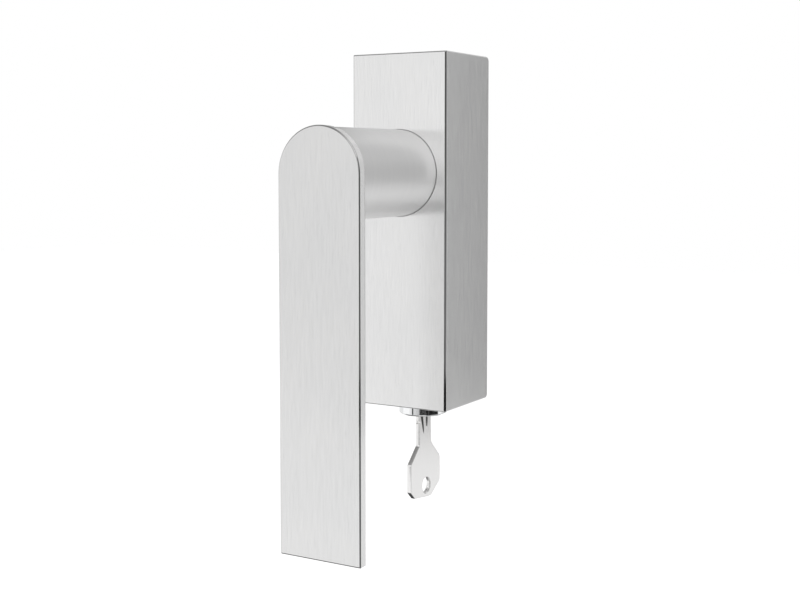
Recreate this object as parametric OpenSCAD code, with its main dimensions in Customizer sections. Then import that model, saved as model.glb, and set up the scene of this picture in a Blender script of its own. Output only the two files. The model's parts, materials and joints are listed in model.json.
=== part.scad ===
// Lockable tilt and turn window handle: box housing, round neck, flat blade lever and push lock with key.
// Frame: +Z up, the front faces -Y, the sash is the plane y = 0, the spindle runs along Y through the origin.

/* [Housing] */
// Width of the housing cover
housing_w = 34; // [33:0.5:40]
// Height of the cover's top above the spindle axis
housing_top = 37.5; // [33:0.5:42]
// Depth of the housing cover, from the sash to its front face
housing_d = 29; // [28:0.5:34]
// Wall of the housing cover
cover_wall = 2; // [1.2:0.1:2.2]
// Chamfer on the cover's front edges
cover_chamfer = 0.6; // [0.2:0.1:1.2]
// Rounding of the cover's top and bottom edges next to the sash
cover_round = 1.2; // [0.5:0.1:2]
// Thickness of the chassis behind the mechanism
base_t = 4; // [3:0.5:5]
// Thickness of the steel plate that closes the chassis
rear_plate_t = 1; // [0.6:0.1:1.5]

/* [Lever] */
// How far the blade's sides stand out past the neck
blade_lip = 0.4; // [0:0.1:3]
// Length of the blade below the spindle axis
blade_drop = 112; // [90:1:140]
// Thickness of the blade
blade_t = 3; // [2:0.5:6]
// Chamfer on the blade's front edges
blade_chamfer = 0.6; // [0.2:0.1:1]
// Distance from the sash to the blade's front face
lever_reach = 74; // [60:1:90]
// Distance from the cover's side to the round neck
neck_inset = 3.4; // [3.3:0.1:5]
// Diameter of the journal that turns in the bushes
journal_d = 13; // [12:0.5:14]

/* [Fixing] */
// Distance between the two fixing screws
screw_spacing = 43; // [42.6:0.2:45]
// Thread diameter of the fixing screws
screw_d = 5; // [4:0.5:5]
// Length of the fixing screws behind the sash plane
screw_reach = 24; // [12:1:45]
// Width across the flats of the square spindle
spindle_w = 7; // [6:0.5:7]
// Length of the spindle behind the sash plane
spindle_reach = 24; // [16:1:45]
// Diameter of the locating spigots round the screws
spigot_d = 10; // [9:0.5:12]
// Length of the locating spigots behind the sash plane
spigot_reach = 2.5; // [1.5:0.5:4]

/* [Lock] */
// Diameter of the push cylinder
cylinder_d = 15.7; // [15:0.1:16]
// Distance from the sash to the push cylinder's axis
lock_depth = 13; // [12.6:0.2:13.4]
// Stroke of the push cylinder
lock_travel = 4; // [3:0.25:4]
// Length of the push cylinder
cylinder_len = 22.8; // [22:0.2:26]
// How far the push cylinder stands out below the housing when unlocked
cylinder_proud = 4.3; // [4:0.1:8]
// Length of the cap on the push cylinder
cap_len = 9; // [8.6:0.2:11]
// Diameter of the key plug
plug_d = 10.8; // [10.4:0.1:11]
// Length of the return spring
return_spring_len = 9; // [8:0.5:12]
// Room for a screwdriver between the lower screw's head and the spring post
driver_room = 3.9; // [1:0.1:20]

/* [Key] */
// Thickness of the key
key_t = 1.5; // [1.2:0.1:1.8]
// Width of the key's shank
shank_w = 7.5; // [6:0.1:7.6]
// Width of the key's bow
bow_w = 19.6; // [14:0.2:24]
// Height of the key's bow
bow_h = 17.8; // [14:0.2:24]
// Diameter of the ring hole in the bow
ring_hole_d = 6; // [4:0.2:7]
// Length of bare shank between the plug and the bow
shank_free = 10.9; // [8:0.1:16]
// Number of wafers in the plug
wafer_count = 5; // [3:1:5]

/* [Clearances] */
// Radial running clearance of shafts and sliding barrels
run_gap = 0.05; // [0.02:0.01:0.1]
// Gap between the cover's inside and the chassis
cover_gap = 0.3; // [0.2:0.05:0.4]
// Gap round the neck where it leaves the cover
neck_gap = 0.3; // [0.2:0.05:0.5]
// Gap between moving pieces that pass each other
pass_gap = 0.3; // [0.2:0.05:0.4]

/* [Hidden] */
$fn = 64;
over = 1;                                       // how far a cutter runs past the face it cuts

// Lock stations, stacked from the lower fixing screw down; the cover's height follows from them
screw_z = screw_spacing / 2;
screw_head_r = 4.6;
post_t = 3;
fork_base_h = 5;
post_bottom = -screw_z - screw_head_r - driver_room - post_t;
fork_base_top = post_bottom - return_spring_len;
cap_top = fork_base_top - fork_base_h;
cylinder_top = cap_top - cap_len;
cylinder_bottom = cylinder_top - cylinder_len;

// Housing stations
cover_bottom = cylinder_bottom + cylinder_proud;
housing_h = housing_top - cover_bottom;
inner_half = housing_w / 2 - cover_wall;
inner_top = housing_top - cover_wall;
inner_bottom = cover_bottom + cover_wall;
inner_front = cover_wall - housing_d;
chassis_half = inner_half - cover_gap;
chassis_top = inner_top - cover_gap;
chassis_bottom = inner_bottom + cover_gap;
base_front = -rear_plate_t - base_t;
neck_r = housing_w / 2 - neck_inset;
neck_hole_r = neck_r + neck_gap;
glide_ring_len = 3;
boss_front = inner_front + glide_ring_len;

// Bearing boss, from the outside in
boss_wall = 1.4;
detent_ledge = 0.6;
star_gap = 0.4;
front_bush_wall = 3;
boss_r = chassis_half;
rear_bore_r = boss_r - boss_wall;
star_bore_r = rear_bore_r - detent_ledge;
star_r = star_bore_r - star_gap;
journal_r = journal_d / 2;
front_bush_r = journal_r + front_bush_wall;
blade_half = neck_r + blade_lip;
neck_washer_t = 0.95;
neck_washer_inset = 0.6;
neck_end = boss_front - neck_washer_t - run_gap;

// Locking star, detent plate and rear bush, from the front to the sash
star_ahead = 4.7;
star_behind = 3.3;
star_front = -lock_depth - star_ahead;
star_back = -lock_depth + star_behind;
star_arm_w = 10.8;
detent_gap = 0.2;
detent_front = star_back + detent_gap;
detent_plate_t = 1.5;
bush_front = detent_front + detent_plate_t;
journal_lip = 0.65;
journal_end = -rear_plate_t - pass_gap;
circlip_t = 0.8;
circlip_front = journal_end - journal_lip - circlip_t;
circlip_groove_depth = 0.9;
circlip_height = 2.3;
circlip_groove_r = journal_r - circlip_groove_depth;
circlip_r = journal_r + circlip_height;
thrust_washer_t = 0.6;
thrust_washer_rim = 0.8;
thrust_washer_r = circlip_r + thrust_washer_rim;
bush_back = circlip_front - thrust_washer_t - run_gap;
bush_rim_gap = 1.2;
bush_rim_r = thrust_washer_r + bush_rim_gap;

// Detents
ball_r = 1.5;
ball_bore_r = ball_r + 0.1;
ball_pitch_r = (journal_r + star_r) / 2 + 0.15;
ball_bore_depth = 6;
dimple_depth = 0.5;
ball_y = detent_front - 0.02 - ball_r;

// Spindle and pins
spindle_gap = 0.05;
spindle_end = -45;
socket_end = spindle_end - 0.5;
pin_r = 1;
pin_gap = 0.02;
star_pin_y = -lock_depth - 0.7;
star_pin_len = 2 * star_r - 0.8;

// Fixing screws
screw_r = screw_d / 2;
shank_relief = 0.26;
screw_hole_r = screw_r + 0.2;
screw_head_h = 2.6;
spigot_r = spigot_d / 2;
spigot_wall = 1.3;
spigot_bore_r = spigot_r - spigot_wall;
spigot_gap = 0.15;

// Small screws
plate_screw_inset_side = 4.7;
plate_screw_x = chassis_half - plate_screw_inset_side;
plate_screw_inset_top = 5;
plate_screw_inset_bottom = 6;
plate_screw_zs = [chassis_top - plate_screw_inset_top, chassis_bottom + plate_screw_inset_bottom];
plate_screw_r = 1.25;
plate_screw_head_r = 2.3;
plate_screw_len = 5;
grub_r = 1.5;
grub_len = 5.4;
grub_inset = 2.8;
grub_x = inner_half - grub_inset;
grub_y = -rear_plate_t - base_t / 2;

// Push cylinder and what rides in it, from the bottom up
cylinder_r = cylinder_d / 2;
cylinder_bore_r = cylinder_r + run_gap;
cylinder_chamfer = 0.4;
plug_r = plug_d / 2;
plug_bore_r = plug_r + run_gap;
plug_recess = 0.3;
plug_face = cylinder_bottom + plug_recess;
plug_flange_w = 0.8;
plug_flange_r = plug_r + plug_flange_w;
plug_flange_t = 0.7;
plug_top = cylinder_top - 0.4;
cap_wall = 1.45;
cap_chamber_r = cylinder_r - cap_wall;
cap_chamber_h = 2.8;
slider_h = 2.4;
nose_half = 1.5;
crank_offset = 1.6;
crank_r = 0.8;
crank_len = 2;
slider_lift = 0.2;
slider_rear_x = -crank_offset - crank_r - 1;
latch_reach = 1.2;

// Chassis tower and retaining pin
tower_front = boss_front;
tower_top = cap_top - 0.2;
retaining_inset = 4;
retaining_z = cylinder_top - retaining_inset;
retaining_x = cylinder_r - 0.25;
groove_x = retaining_x - pin_r - 0.1;

// Locking fork
fork_t = 3;
fork_half_t = fork_t / 2;
fork_slot_half_t = fork_half_t + 0.3;
leg_in = star_arm_w / 2 + pass_gap;
leg_w = 3.8;
leg_out = leg_in + leg_w;
fork_seat_depth = 4.5;
fork_pin_depth = 2.3;
fork_pin_inset = 1.35;
fork_seat_z = cap_top - fork_seat_depth;
fork_base_bottom = cap_top + 0.1;
fork_pin_z = cap_top - fork_pin_depth;
fork_pin_len = 2 * (cylinder_r - fork_pin_inset);
leg_top = -sqrt(pow(star_r + pass_gap, 2) - pow(leg_in, 2));
guide_len = 10;
guide_lead = 2;
guide_bottom = fork_base_top + guide_lead;
guide_top = guide_bottom + guide_len;
post_half = 4;
peg_r = 1.9;
peg_h = 1.5;

// Springs
return_wire_r = 0.35;
return_coil_r = 2.9;
detent_wire_r = 0.2;
detent_coil_r = 1.2;
latch_wire_r = 0.15;
latch_coil_r = 0.9;
wafer_wire_r = 0.15;
wafer_coil_r = 0.4;
wafer_spring_len = 3;

// Key plug and wafers
keyway_side_gap = 0.15;
keyway_edge_gap = 0.35;
plug_end_wall = 0.8;
keyway_half_t = key_t / 2 + keyway_side_gap;
keyway_w = shank_w + 2 * keyway_edge_gap;
keyway_top = plug_top - plug_end_wall;
wafer_pitch = 2.6;
wafer_t = 1.2;
wafer_slot_t = wafer_t + 0.1;
wafer_half_w = 2.8;
wafer_inset = 4;
wafer_first_z = plug_face + wafer_inset;
wafer_zs = [for (i = [0 : wafer_count - 1]) wafer_first_z + i * wafer_pitch];
wafer_last_z = wafer_zs[wafer_count - 1];
wafer_spring_x = wafer_half_w + 0.65;

// Key
key_tip_gap = 1.2;
shank_shift = 0.25;
bow_shift = 0.6;
ring_hole_shift = 0.2;
key_tip = keyway_top - key_tip_gap;
shank_bottom = plug_face - shank_free;
shank_front = -lock_depth - shank_w / 2 + shank_shift;
bow_y = -lock_depth + bow_shift;
bow_bottom = shank_bottom - bow_h;
bow_shoulder_h = 5.4;
bow_corner_front_w = 4.6;
bow_corner_rear_w = 7.6;
bow_corner_h = 3.2;
ring_hole_edge = 1;
key_cut_r = 0.8;
tip_bevel = 2;
flute_depth = 0.3;
flute_w = 1.2;

// A box between two opposite corners
module block(from, to) {
    translate(from) cube(to - from);
}

module rod_x(r, x0, x1) {
    translate([x0, 0, 0]) rotate([0, 90, 0]) cylinder(h = x1 - x0, r = r);
}

module rod_y(r, y0, y1) {
    translate([0, y0, 0]) rotate([-90, 0, 0]) cylinder(h = y1 - y0, r = r);
}

module rod_z(r, z0, z1) {
    translate([0, 0, z0]) cylinder(h = z1 - z0, r = r);
}

module ring_y(r_out, r_in, y0, y1) {
    difference() {
        rod_y(r_out, y0, y1);
        rod_y(r_in, y0 - over, y1 + over);
    }
}

// Places its children on the push cylinder's axis
module on_lock_axis() {
    translate([0, -lock_depth, 0]) children();
}

// Places its children at both fixing screws
module at_screws() {
    for (side = [-1, 1])
        translate([0, 0, side * screw_z]) children();
}

// Mirrors its children left and right
module both_sides() {
    for (side = [0, 1])
        mirror([side, 0, 0]) children();
}

// Points of the helix's wire: one ring of sides points per step, round the Z axis
function helix_ring(coil_r, wire_r, angle, z, sides) = [
    for (k = [0 : sides - 1])
        let (turn = 360 * k / sides, out = coil_r + wire_r * cos(turn))
            [out * cos(angle), out * sin(angle), z + wire_r * sin(turn)]
];

// A compression spring from z = 0 to z = len
module coil_spring(coil_r, wire_r, len, turns, sides = 6, per_turn = 14) {
    steps = turns * per_turn;
    rise = len - 2 * wire_r;
    points = [
        for (i = [0 : steps])
            each helix_ring(coil_r, wire_r, 360 * i / per_turn, wire_r + rise * i / steps, sides)
    ];
    walls = [
        for (i = [0 : steps - 1], k = [0 : sides - 1])
            let (a = i * sides + k, b = i * sides + (k + 1) % sides)
                each [[a, b, b + sides], [a, b + sides, a + sides]]
    ];
    first_cap = [for (k = [sides - 1 : -1 : 0]) k];
    last_cap = [for (k = [0 : sides - 1]) steps * sides + k];
    polyhedron(points, concat(walls, [first_cap, last_cap]), convexity = 8);
}

// ---- Housing ----

// Solid outline of the cover, with its front edges chamfered
module cover_outline() {
    half = housing_w / 2;
    c = cover_chamfer;
    intersection() {
        translate([0, 0, cover_bottom])
            linear_extrude(housing_h)
                polygon([[-half, 0], [half, 0], [half, c - housing_d], [half - c, -housing_d],
                    [c - half, -housing_d], [-half, c - housing_d]]);
        rotate([90, 0, 90])
            linear_extrude(housing_w + 2 * over, center = true)
                polygon([[0, cover_bottom], [0, housing_top], [c - housing_d, housing_top],
                    [-housing_d, housing_top - c], [-housing_d, cover_bottom + c],
                    [c - housing_d, cover_bottom]]);
    }
}

// What the rounding takes off an edge along X that lies at the sash plane
module sash_edge_cut(z, inward) {
    reach = housing_w / 2 + over;
    translate([0, -cover_round, z + inward * cover_round])
        difference() {
            block([-reach, 0, min(0, -inward * (cover_round + over))],
                [reach, cover_round + over, max(0, -inward * (cover_round + over))]);
            rod_x(cover_round, -reach - over, reach + over);
        }
}

module housing_cover() {
    color([0.80, 0.80, 0.80])
        difference() {
            cover_outline();
            block([-inner_half, inner_front, inner_bottom], [inner_half, over, inner_top]);
            sash_edge_cut(housing_top, -1);
            sash_edge_cut(cover_bottom, 1);
            rod_y(neck_hole_r, -housing_d - over, inner_front + over);
            on_lock_axis() rod_z(cylinder_r + pass_gap, cover_bottom - over, inner_bottom + over);
            both_sides()
                translate([grub_x, grub_y, 0]) rod_z(grub_r, cover_bottom - over, inner_bottom + over);
        }
}

// Slots in the lower wall of the boss through which the fork's legs reach the star
module leg_slots() {
    both_sides()
        on_lock_axis()
            block([leg_in - pass_gap, -fork_slot_half_t, -boss_r - over],
                [leg_out + pass_gap, fork_slot_half_t, -journal_r]);
}

// Lugs that guide the fork's legs, before their groove is cut
module guide_lugs() {
    both_sides()
        block([leg_out - 1, -lock_depth - fork_half_t - 2.5, guide_bottom],
            [chassis_half, base_front, guide_top]);
}

// Post over the return spring, with a peg that centres the coil
module spring_post() {
    block([-post_half, -lock_depth - post_half, post_bottom],
        [post_half, base_front, post_bottom + post_t]);
    on_lock_axis() rod_z(peg_r, post_bottom - peg_h, post_bottom + peg_h);
}

module chassis() {
    latch_z = cylinder_top + lock_travel;
    color([0.62, 0.63, 0.64])
        difference() {
            union() {
                block([-chassis_half, base_front, chassis_bottom],
                    [chassis_half, -rear_plate_t, chassis_top]);
                rod_y(boss_r, boss_front, base_front + over);
                block([-chassis_half, tower_front, chassis_bottom],
                    [chassis_half, base_front + over, tower_top]);
                guide_lugs();
                spring_post();
                at_screws() rod_y(spigot_r, -rear_plate_t - over, spigot_reach);
            }
            rod_y(front_bush_r, boss_front - over, star_front);
            rod_y(star_bore_r, star_front - pass_gap, detent_front);
            rod_y(rear_bore_r, detent_front, over);
            leg_slots();
            both_sides()
                on_lock_axis()
                    block([leg_in - pass_gap, -fork_slot_half_t, guide_bottom - over],
                        [leg_out + pass_gap, fork_slot_half_t, guide_top + over]);
            at_screws() {
                rod_y(screw_hole_r, base_front - over, over);
                rod_y(spigot_bore_r, -rear_plate_t, spigot_reach + over);
            }
            on_lock_axis() rod_z(cylinder_bore_r, chassis_bottom - over, tower_top + over);
            translate([retaining_x, 0, retaining_z])
                rod_y(pin_r + pin_gap, tower_front - over, base_front - pin_gap);
            on_lock_axis()
                block([0, -nose_half - pass_gap, latch_z],
                    [cylinder_bore_r + latch_reach + pass_gap, nose_half + pass_gap,
                        latch_z + cap_chamber_h]);
            both_sides()
                translate([grub_x, grub_y, 0])
                    rod_z(grub_r + run_gap, chassis_bottom - over, cover_bottom + grub_len + pass_gap);
            at_plate_screws() {
                countersunk_screw();
                rod_y(plate_screw_r, -plate_screw_len - pass_gap, over);
            }
        }
}

// Countersunk screw whose head lies flush with the sash plane
module countersunk_screw() {
    head_h = plate_screw_head_r - plate_screw_r;
    rod_y(plate_screw_r, -plate_screw_len, -head_h);
    translate([0, -head_h, 0])
        rotate([-90, 0, 0])
            cylinder(h = head_h, r1 = plate_screw_r, r2 = plate_screw_head_r);
}

// Places its children at the four screws of the rear plate
module at_plate_screws() {
    both_sides()
        for (z = plate_screw_zs)
            translate([plate_screw_x, 0, z]) children();
}

module rear_plate() {
    color([0.72, 0.73, 0.75])
        difference() {
            block([-chassis_half, -rear_plate_t, chassis_bottom], [chassis_half, 0, chassis_top]);
            rod_y(spindle_w * sqrt(2) / 2 + pass_gap, -rear_plate_t - over, over);
            at_screws() rod_y(spigot_r + spigot_gap, -rear_plate_t - over, over);
            at_plate_screws() countersunk_screw();
        }
}

module rear_plate_screws() {
    socket_w = 1.6;
    color([0.55, 0.56, 0.58])
        at_plate_screws()
            difference() {
                countersunk_screw();
                for (turn = [0, 90])
                    rotate([0, turn, 0])
                        block([-socket_w, -0.8, -0.25], [socket_w, over, 0.25]);
            }
}

module cover_grub_screws() {
    socket_r = 0.8;
    socket_depth = 1.6;
    color([0.45, 0.46, 0.48])
        both_sides()
            translate([grub_x, grub_y, cover_bottom + 0.2])
                difference() {
                    rod_z(grub_r - pin_gap, 0, grub_len);
                    translate([0, 0, -over]) cylinder(h = socket_depth + over, r = socket_r, $fn = 6);
                }
}

module glide_ring() {
    color([0.20, 0.20, 0.21])
        ring_y(chassis_half, neck_hole_r, inner_front, boss_front);
}

module front_bush() {
    color([0.93, 0.93, 0.90])
        ring_y(front_bush_r, journal_r + run_gap, boss_front, star_front - pass_gap);
}

module rear_bush() {
    color([0.93, 0.93, 0.90])
        difference() {
            rod_y(rear_bore_r, bush_front, -rear_plate_t);
            rod_y(journal_r + run_gap, bush_front - over, over);
            rod_y(bush_rim_r, bush_back, over);
        }
}

module detent_plate() {
    color([0.50, 0.51, 0.53])
        difference() {
            ring_y(rear_bore_r, journal_r + pass_gap, detent_front, bush_front);
            for (turn = [0 : 90 : 270])
                rotate([0, turn, 0])
                    translate([ball_pitch_r, detent_front + dimple_depth - ball_r, 0]) sphere(r = ball_r);
        }
}

module fixing_screws() {
    slot_w = 1.1;
    slot_half = 2.9;
    color([0.74, 0.75, 0.77])
        at_screws()
            difference() {
                union() {
                    rod_y(screw_head_r, base_front - screw_head_h, base_front);
                    rod_y(screw_r - shank_relief, base_front - over, 0);
                    rod_y(screw_r, 0, screw_reach);
                }
                for (turn = [0, 90])
                    rotate([0, turn, 0])
                        block([-slot_half, base_front - screw_head_h - over, -slot_w / 2],
                            [slot_half, base_front - 1, slot_w / 2]);
            }
}

module retaining_pin() {
    color([0.55, 0.56, 0.58])
        translate([retaining_x, 0, retaining_z])
            rod_y(pin_r, tower_front + 0.5, base_front - 0.2);
}

module return_spring() {
    color([0.60, 0.61, 0.63])
        on_lock_axis()
            translate([0, 0, fork_base_top])
                coil_spring(return_coil_r, return_wire_r, return_spring_len, 5, 8, 20);
}

// ---- Lever ----

module lever_blade() {
    half = blade_half;
    c = blade_chamfer;
    back = blade_t - lever_reach;
    front = -lever_reach;
    color([0.82, 0.82, 0.82])
        difference() {
            union() {
                translate([0, 0, -blade_drop])
                    linear_extrude(blade_drop)
                        polygon([[-half, back], [half, back], [half, front + c], [half - c, front],
                            [c - half, front], [-half, front + c]]);
                intersection() {
                    rotate([-90, 0, 0])
                        rotate_extrude()
                            polygon([[0, back], [half, back], [half, front + c], [half - c, front],
                                [0, front]]);
                    block([-half - over, front - over, 0], [half + over, back + over, half + over]);
                }
            }
            translate([0, front, -blade_drop])
                rotate([45, 0, 0])
                    cube([2 * (half + over), c * sqrt(2), c * sqrt(2)], center = true);
        }
}

module lever_neck() {
    socket_half = spindle_w / 2 + spindle_gap;
    color([0.78, 0.78, 0.78])
        difference() {
            union() {
                rod_y(neck_r, blade_t - lever_reach, neck_end);
                rod_y(journal_r, neck_end - over, journal_end);
            }
            block([-socket_half, socket_end, -socket_half], [socket_half, over, socket_half]);
            ring_y(journal_r + over, circlip_groove_r, circlip_front, circlip_front + circlip_t);
            translate([0, star_pin_y, 0]) rod_z(pin_r + pin_gap, -journal_r - over, journal_r + over);
        }
}

module neck_washer() {
    color([0.93, 0.93, 0.90])
        ring_y(neck_r - neck_washer_inset, journal_r + pin_gap, neck_end, neck_end + neck_washer_t);
}

module locking_star() {
    arm_half = star_arm_w / 2;
    color([0.66, 0.66, 0.62])
        difference() {
            intersection() {
                rod_y(star_r, star_front, star_back);
                union() {
                    for (turn = [0, 90])
                        rotate([0, turn, 0])
                            block([-arm_half, star_front - over, -star_r - over],
                                [arm_half, star_back + over, star_r + over]);
                }
            }
            rod_y(journal_r, star_front - over, star_back + over);
            translate([0, star_pin_y, 0]) rod_z(pin_r + pin_gap, -star_r - over, star_r + over);
            both_sides()
                translate([ball_pitch_r, 0, 0])
                    rod_y(ball_bore_r, star_back - ball_bore_depth, star_back + over);
        }
}

module star_pin() {
    color([0.50, 0.51, 0.53])
        translate([0, star_pin_y, 0]) rod_z(pin_r, -star_pin_len / 2, star_pin_len / 2);
}

module detent_balls() {
    color([0.85, 0.86, 0.88])
        both_sides()
            translate([ball_pitch_r, ball_y, 0]) sphere(r = ball_r);
}

module detent_springs() {
    seat = star_back - ball_bore_depth;
    color([0.60, 0.61, 0.63])
        both_sides()
            translate([ball_pitch_r, seat, 0])
                rotate([-90, 0, 0])
                    coil_spring(detent_coil_r, detent_wire_r, ball_y - seat - 0.8 * ball_r, 4);
}

module thrust_washer() {
    color([0.70, 0.71, 0.73])
        ring_y(thrust_washer_r, journal_r + pin_gap, circlip_front - thrust_washer_t, circlip_front);
}

module circlip() {
    gap_half = 2.4;
    color([0.38, 0.39, 0.41])
        difference() {
            ring_y(circlip_r, circlip_groove_r, circlip_front, circlip_front + circlip_t);
            block([-gap_half, circlip_front - over, 0],
                [gap_half, circlip_front + circlip_t + over, circlip_r + over]);
        }
}

module spindle() {
    half = spindle_w / 2;
    color([0.70, 0.70, 0.66])
        difference() {
            block([-half, spindle_end, -half], [half, spindle_reach, half]);
            translate([0, star_pin_y, 0]) rod_z(pin_r + pin_gap, -half - over, half + over);
        }
}

// ---- Push lock ----

module push_cylinder() {
    c = cylinder_chamfer;
    color([0.88, 0.89, 0.90])
        difference() {
            on_lock_axis() {
                rod_z(cylinder_r, cylinder_bottom + c, cylinder_top);
                translate([0, 0, cylinder_bottom]) cylinder(h = c, r1 = cylinder_r - c, r2 = cylinder_r);
            }
            on_lock_axis() {
                rod_z(plug_bore_r, cylinder_bottom - over, cylinder_top + over);
                rod_z(plug_flange_r + 2 * run_gap, cylinder_bottom - over,
                    plug_face + plug_flange_t + run_gap);
                block([-wafer_half_w - 0.2, -plug_bore_r - 0.9, wafer_first_z - wafer_t],
                    [wafer_half_w + 0.2, plug_bore_r + 0.9, wafer_last_z + wafer_t]);
                block([groove_x, -cylinder_r, retaining_z - lock_travel - pin_r - 0.1],
                    [cylinder_r + over, cylinder_r, retaining_z + pin_r + 0.1]);
            }
        }
}

module cylinder_cap() {
    chamber_top = cylinder_top + cap_chamber_h;
    color([0.72, 0.68, 0.50])
        on_lock_axis()
            difference() {
                rod_z(cylinder_r, cylinder_top, cap_top);
                rod_z(cap_chamber_r, cylinder_top - over, chamber_top);
                block([0, -nose_half - 0.1, cylinder_top - over],
                    [cylinder_r + over, nose_half + 0.1, chamber_top]);
                block([-cylinder_r - over, -fork_half_t - pin_gap, fork_seat_z],
                    [cylinder_r + over, fork_half_t + pin_gap, cap_top + over]);
                translate([0, 0, fork_pin_z]) rod_y(pin_r + pin_gap, -cylinder_r - over, cylinder_r + over);
            }
}

module locking_fork() {
    tongue_half = cylinder_r - 1.8;
    color([0.76, 0.77, 0.79])
        on_lock_axis()
            difference() {
                union() {
                    block([-tongue_half, -fork_half_t, fork_seat_z],
                        [tongue_half, fork_half_t, fork_base_top]);
                    block([-leg_out, -fork_half_t, fork_base_bottom], [leg_out, fork_half_t, fork_base_top]);
                    both_sides()
                        block([leg_in, -fork_half_t, fork_base_top - over], [leg_out, fork_half_t, leg_top]);
                    block([-peg_r + 0.1, -fork_half_t, fork_base_top - over],
                        [peg_r - 0.1, fork_half_t, fork_base_top + peg_h]);
                }
                translate([0, 0, fork_pin_z]) rod_y(pin_r + pin_gap, -fork_t, fork_t);
            }
}

module fork_pin() {
    color([0.50, 0.51, 0.53])
        on_lock_axis()
            translate([0, 0, fork_pin_z]) rod_y(pin_r, -fork_pin_len / 2, fork_pin_len / 2);
}

// Flat slider that the plug's crank draws back, with its nose in the cap's window
module latch_slider() {
    bottom = cylinder_top + slider_lift;
    top = bottom + slider_h;
    crank_out = crank_offset + crank_r;
    front_x = crank_out + 0.8;
    color([0.76, 0.77, 0.79])
        on_lock_axis()
            difference() {
                union() {
                    block([slider_rear_x, -crank_r - 1.8, bottom], [front_x, crank_out + 1.4, top]);
                    block([front_x - over, -nose_half, bottom], [cylinder_r - 0.25, nose_half, top]);
                }
                block([slider_rear_x + 0.8, -crank_r - 0.2, bottom - over],
                    [crank_r + 0.2, crank_out + 0.2, top + over]);
            }
}

module latch_spring() {
    seat_x = -sqrt(pow(cap_chamber_r, 2) - pow(latch_coil_r + latch_wire_r, 2));
    color([0.60, 0.61, 0.63])
        on_lock_axis()
            translate([seat_x, 0, cylinder_top + slider_lift + slider_h / 2])
                rotate([0, 90, 0])
                    coil_spring(latch_coil_r, latch_wire_r, slider_rear_x - seat_x, 4);
}

// ---- Key plug ----

module key_plug() {
    color([0.80, 0.74, 0.52])
        on_lock_axis()
            difference() {
                union() {
                    rod_z(plug_r, plug_face, plug_top);
                    rod_z(plug_flange_r, plug_face, plug_face + plug_flange_t);
                    translate([0, crank_offset, 0]) rod_z(crank_r, plug_top - over, plug_top + crank_len);
                }
                block([-keyway_half_t, -keyway_w / 2, plug_face - over],
                    [keyway_half_t, keyway_w / 2, keyway_top]);
                for (z = wafer_zs)
                    translate([0, 0, z]) {
                        block([-wafer_half_w - 0.1, -plug_r - over, -wafer_slot_t / 2],
                            [wafer_half_w + 0.1, plug_r + over, wafer_slot_t / 2]);
                        translate([wafer_spring_x, 0, 0])
                            block([-wafer_coil_r - 0.25, -wafer_spring_len / 2 - 0.1, -wafer_slot_t / 2],
                                [wafer_coil_r + 0.25, wafer_spring_len / 2 + 0.1, wafer_slot_t / 2]);
                    }
            }
}

module wafers() {
    window_half_t = keyway_half_t + 0.1;
    color([0.83, 0.76, 0.50])
        on_lock_axis()
            for (z = wafer_zs)
                translate([0, 0, z - wafer_t / 2])
                    linear_extrude(wafer_t)
                        difference() {
                            intersection() {
                                circle(r = plug_r - run_gap);
                                square([2 * wafer_half_w, 2 * plug_r], center = true);
                            }
                            square([2 * window_half_t, keyway_w + 0.2], center = true);
                        }
}

module wafer_springs() {
    color([0.60, 0.61, 0.63])
        on_lock_axis()
            for (z = wafer_zs)
                translate([wafer_spring_x, -wafer_spring_len / 2, z])
                    rotate([-90, 0, 0])
                        coil_spring(wafer_coil_r, wafer_wire_r, wafer_spring_len, 4, 6, 10);
}

// ---- Key ----

// Outline of the key in its own plane: first coordinate along Y, second along Z
module key_outline() {
    shank_rear = shank_front + shank_w;
    bow_front = bow_y - bow_w / 2;
    bow_rear = bow_y + bow_w / 2;
    shoulder = shank_bottom - bow_shoulder_h;
    corner = bow_bottom + bow_corner_h;
    polygon([
        [shank_front, key_tip - tip_bevel], [shank_front + tip_bevel, key_tip],
        [shank_rear - tip_bevel, key_tip], [shank_rear, key_tip - tip_bevel],
        [shank_rear, shank_bottom], [bow_rear, shoulder], [bow_rear, corner],
        [bow_rear - bow_corner_rear_w, bow_bottom], [bow_front + bow_corner_front_w, bow_bottom],
        [bow_front, corner], [bow_front, shoulder], [shank_front, shank_bottom]
    ]);
}

module key() {
    hole_z = bow_bottom + ring_hole_edge + ring_hole_d / 2;
    color([0.80, 0.80, 0.80])
        difference() {
            rotate([90, 0, 90]) linear_extrude(key_t, center = true) key_outline();
            translate([0, bow_y + ring_hole_shift, hole_z]) rod_x(ring_hole_d / 2, -key_t, key_t);
            for (z = wafer_zs, y = [shank_front, shank_front + shank_w])
                translate([0, y, z]) rod_x(key_cut_r, -key_t, key_t);
            both_sides()
                block([key_t / 2 - flute_depth, -lock_depth - flute_w / 2 + 1, plug_face - shank_free / 2],
                    [key_t, -lock_depth + flute_w / 2 + 1, key_tip + over]);
        }
}

housing_cover();
chassis();
rear_plate();
rear_plate_screws();
cover_grub_screws();
glide_ring();
front_bush();
rear_bush();
detent_plate();
fixing_screws();
retaining_pin();
return_spring();
lever_blade();
lever_neck();
neck_washer();
locking_star();
star_pin();
detent_balls();
detent_springs();
thrust_washer();
circlip();
spindle();
push_cylinder();
cylinder_cap();
locking_fork();
fork_pin();
latch_slider();
latch_spring();
key_plug();
wafers();
wafer_springs();
key();
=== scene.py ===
"""Lockable tilt and turn window handle: finished surfaces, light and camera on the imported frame."""

import json

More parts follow.
